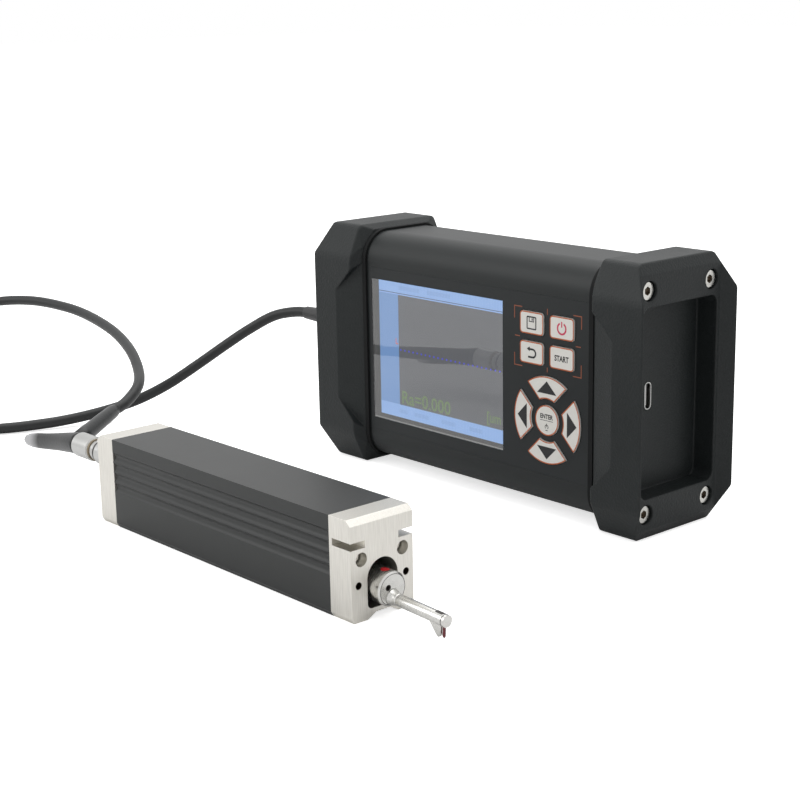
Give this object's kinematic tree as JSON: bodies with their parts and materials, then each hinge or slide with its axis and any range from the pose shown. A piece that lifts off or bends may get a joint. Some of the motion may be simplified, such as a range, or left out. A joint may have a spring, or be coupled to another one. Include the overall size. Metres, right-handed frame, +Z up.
{
  "type": "surface roughness tester",
  "caption": "Portable surface roughness tester: hand-held display unit with end caps and keys, cabled to a slim fluted drive unit with a skidded stylus pickup.",
  "frame": {"origin": "centre of the footprint of both units on the table, without the cable and its plugs", "axes": "+X along both units towards the pickup's tip, +Y from the drive unit to the display unit, +Z up"},
  "size_m": [0.4108, 0.1673, 0.0888],
  "materials": {
    "black_anodised": "satin",
    "cap_plastic": "matte, finely textured",
    "bright_steel": "bright",
    "seal_rubber": "matte",
    "overlay_film": "satin",
    "display_glass": "gloss",
    "display_panel": "gloss",
    "circuit_board": "satin",
    "brass": "satin",
    "chip_plastic": "matte",
    "battery_wrap": "satin",
    "satin_steel": "satin",
    "bare_aluminium": "brushed",
    "red_paint": "gloss",
    "needle_tip": "gloss",
    "shrink_sleeve": "satin",
    "cable_jacket": "satin",
    "plug_plastic": "satin",
    "key_plastic": "satin"
  },
  "bodies": {
    "root": {"host_case": "black_anodised", "left_cap": "cap_plastic", "right_cap": "cap_plastic", "left_cap_screws": "bright_steel", "right_cap_screws": "bright_steel", "left_seal": "seal_rubber", "right_seal": "seal_rubber", "front_overlay": "overlay_film", "display_glass": "display_glass", "display_panel": "display_panel", "key_board": "circuit_board", "snap_domes": "bright_steel", "main_board": "circuit_board", "board_pillars": "brass", "board_screws": "bright_steel", "board_chips": "chip_plastic", "battery_pack": "battery_wrap", "port_board": "circuit_board", "usb_socket": "bright_steel", "host_socket": "satin_steel", "drive_housing": "black_anodised", "front_plate": "bare_aluminium", "rear_plate": "bare_aluminium", "front_plate_screws": "bright_steel", "rear_plate_screws": "bright_steel", "guide_rods": "bright_steel", "screw_bearing": "brass", "drive_motor": "satin_steel", "motor_bracket": "bare_aluminium", "drive_board": "circuit_board", "drive_socket": "satin_steel", "drive_plug": "satin_steel", "plug_sleeve": "shrink_sleeve", "cable": "cable_jacket", "host_plug": "plug_plastic"},
    "carriage": {"carriage": "bare_aluminium", "pivot_pin": "bright_steel"},
    "lead_screw": {"lead_screw": "bright_steel"},
    "pickup": {"pickup_body": "satin_steel", "pickup_mark": "red_paint", "nose_tube": "satin_steel", "stylus_pin": "bright_steel"},
    "stylus": {"stylus_arm": "satin_steel", "stylus_needle": "needle_tip"},
    "key_save": {"key_save": "key_plastic"},
    "key_power": {"key_power": "key_plastic"},
    "key_back": {"key_back": "key_plastic"},
    "key_start": {"key_start": "key_plastic"},
    "key_up": {"key_up": "key_plastic"},
    "key_down": {"key_down": "key_plastic"},
    "key_left": {"key_left": "key_plastic"},
    "key_right": {"key_right": "key_plastic"},
    "key_enter": {"key_enter": "key_plastic"}
  },
  "joints": [
    {"name": "press_save", "type": "slide", "parent": "root", "child": "key_save", "axis": [0, 1, 0], "range_m": [0, 0.0004], "stiffness_N_per_m": 800},
    {"name": "press_power", "type": "slide", "parent": "root", "child": "key_power", "axis": [0, 1, 0], "range_m": [0, 0.0004], "stiffness_N_per_m": 800},
    {"name": "press_back", "type": "slide", "parent": "root", "child": "key_back", "axis": [0, 1, 0], "range_m": [0, 0.0004], "stiffness_N_per_m": 800},
    {"name": "press_start", "type": "slide", "parent": "root", "child": "key_start", "axis": [0, 1, 0], "range_m": [0, 0.0004], "stiffness_N_per_m": 800},
    {"name": "press_up", "type": "slide", "parent": "root", "child": "key_up", "axis": [0, 1, 0], "range_m": [0, 0.0004], "stiffness_N_per_m": 800},
    {"name": "press_down", "type": "slide", "parent": "root", "child": "key_down", "axis": [0, 1, 0], "range_m": [0, 0.0004], "stiffness_N_per_m": 800},
    {"name": "press_left", "type": "slide", "parent": "root", "child": "key_left", "axis": [0, 1, 0], "range_m": [0, 0.0004], "stiffness_N_per_m": 800},
    {"name": "press_right", "type": "slide", "parent": "root", "child": "key_right", "axis": [0, 1, 0], "range_m": [0, 0.0004], "stiffness_N_per_m": 800},
    {"name": "press_enter", "type": "slide", "parent": "root", "child": "key_enter", "axis": [0, 1, 0], "range_m": [0, 0.0004], "stiffness_N_per_m": 800},
    {"name": "carriage_slide", "type": "slide", "parent": "root", "child": "carriage", "axis": [1, 0, 0], "range_m": [-0.0175, 0]},
    {"name": "lead_screw_spin", "type": "hinge", "parent": "root", "child": "lead_screw", "pos_m": [-0.0288, -0.0638, 0.0208], "axis": [1, 0, 0], "range_deg": [-2525, 5]},
    {"name": "pickup_lift", "type": "hinge", "parent": "carriage", "child": "pickup", "pos_m": [0.0035, -0.0638, 0.0113], "axis": [0, -1, 0], "range_deg": [0, 3]},
    {"name": "stylus_swing", "type": "hinge", "parent": "pickup", "child": "stylus", "pos_m": [0.05455, -0.0638, 0.00677], "axis": [0, -1, 0], "range_deg": [-0.3, 0.9], "stiffness_Nm_per_rad": 0.05}
  ],
  "couplings": [
    {"joint": "lead_screw_spin", "follows": "carriage_slide", "rad_per_m": 2513.3}
  ]
}
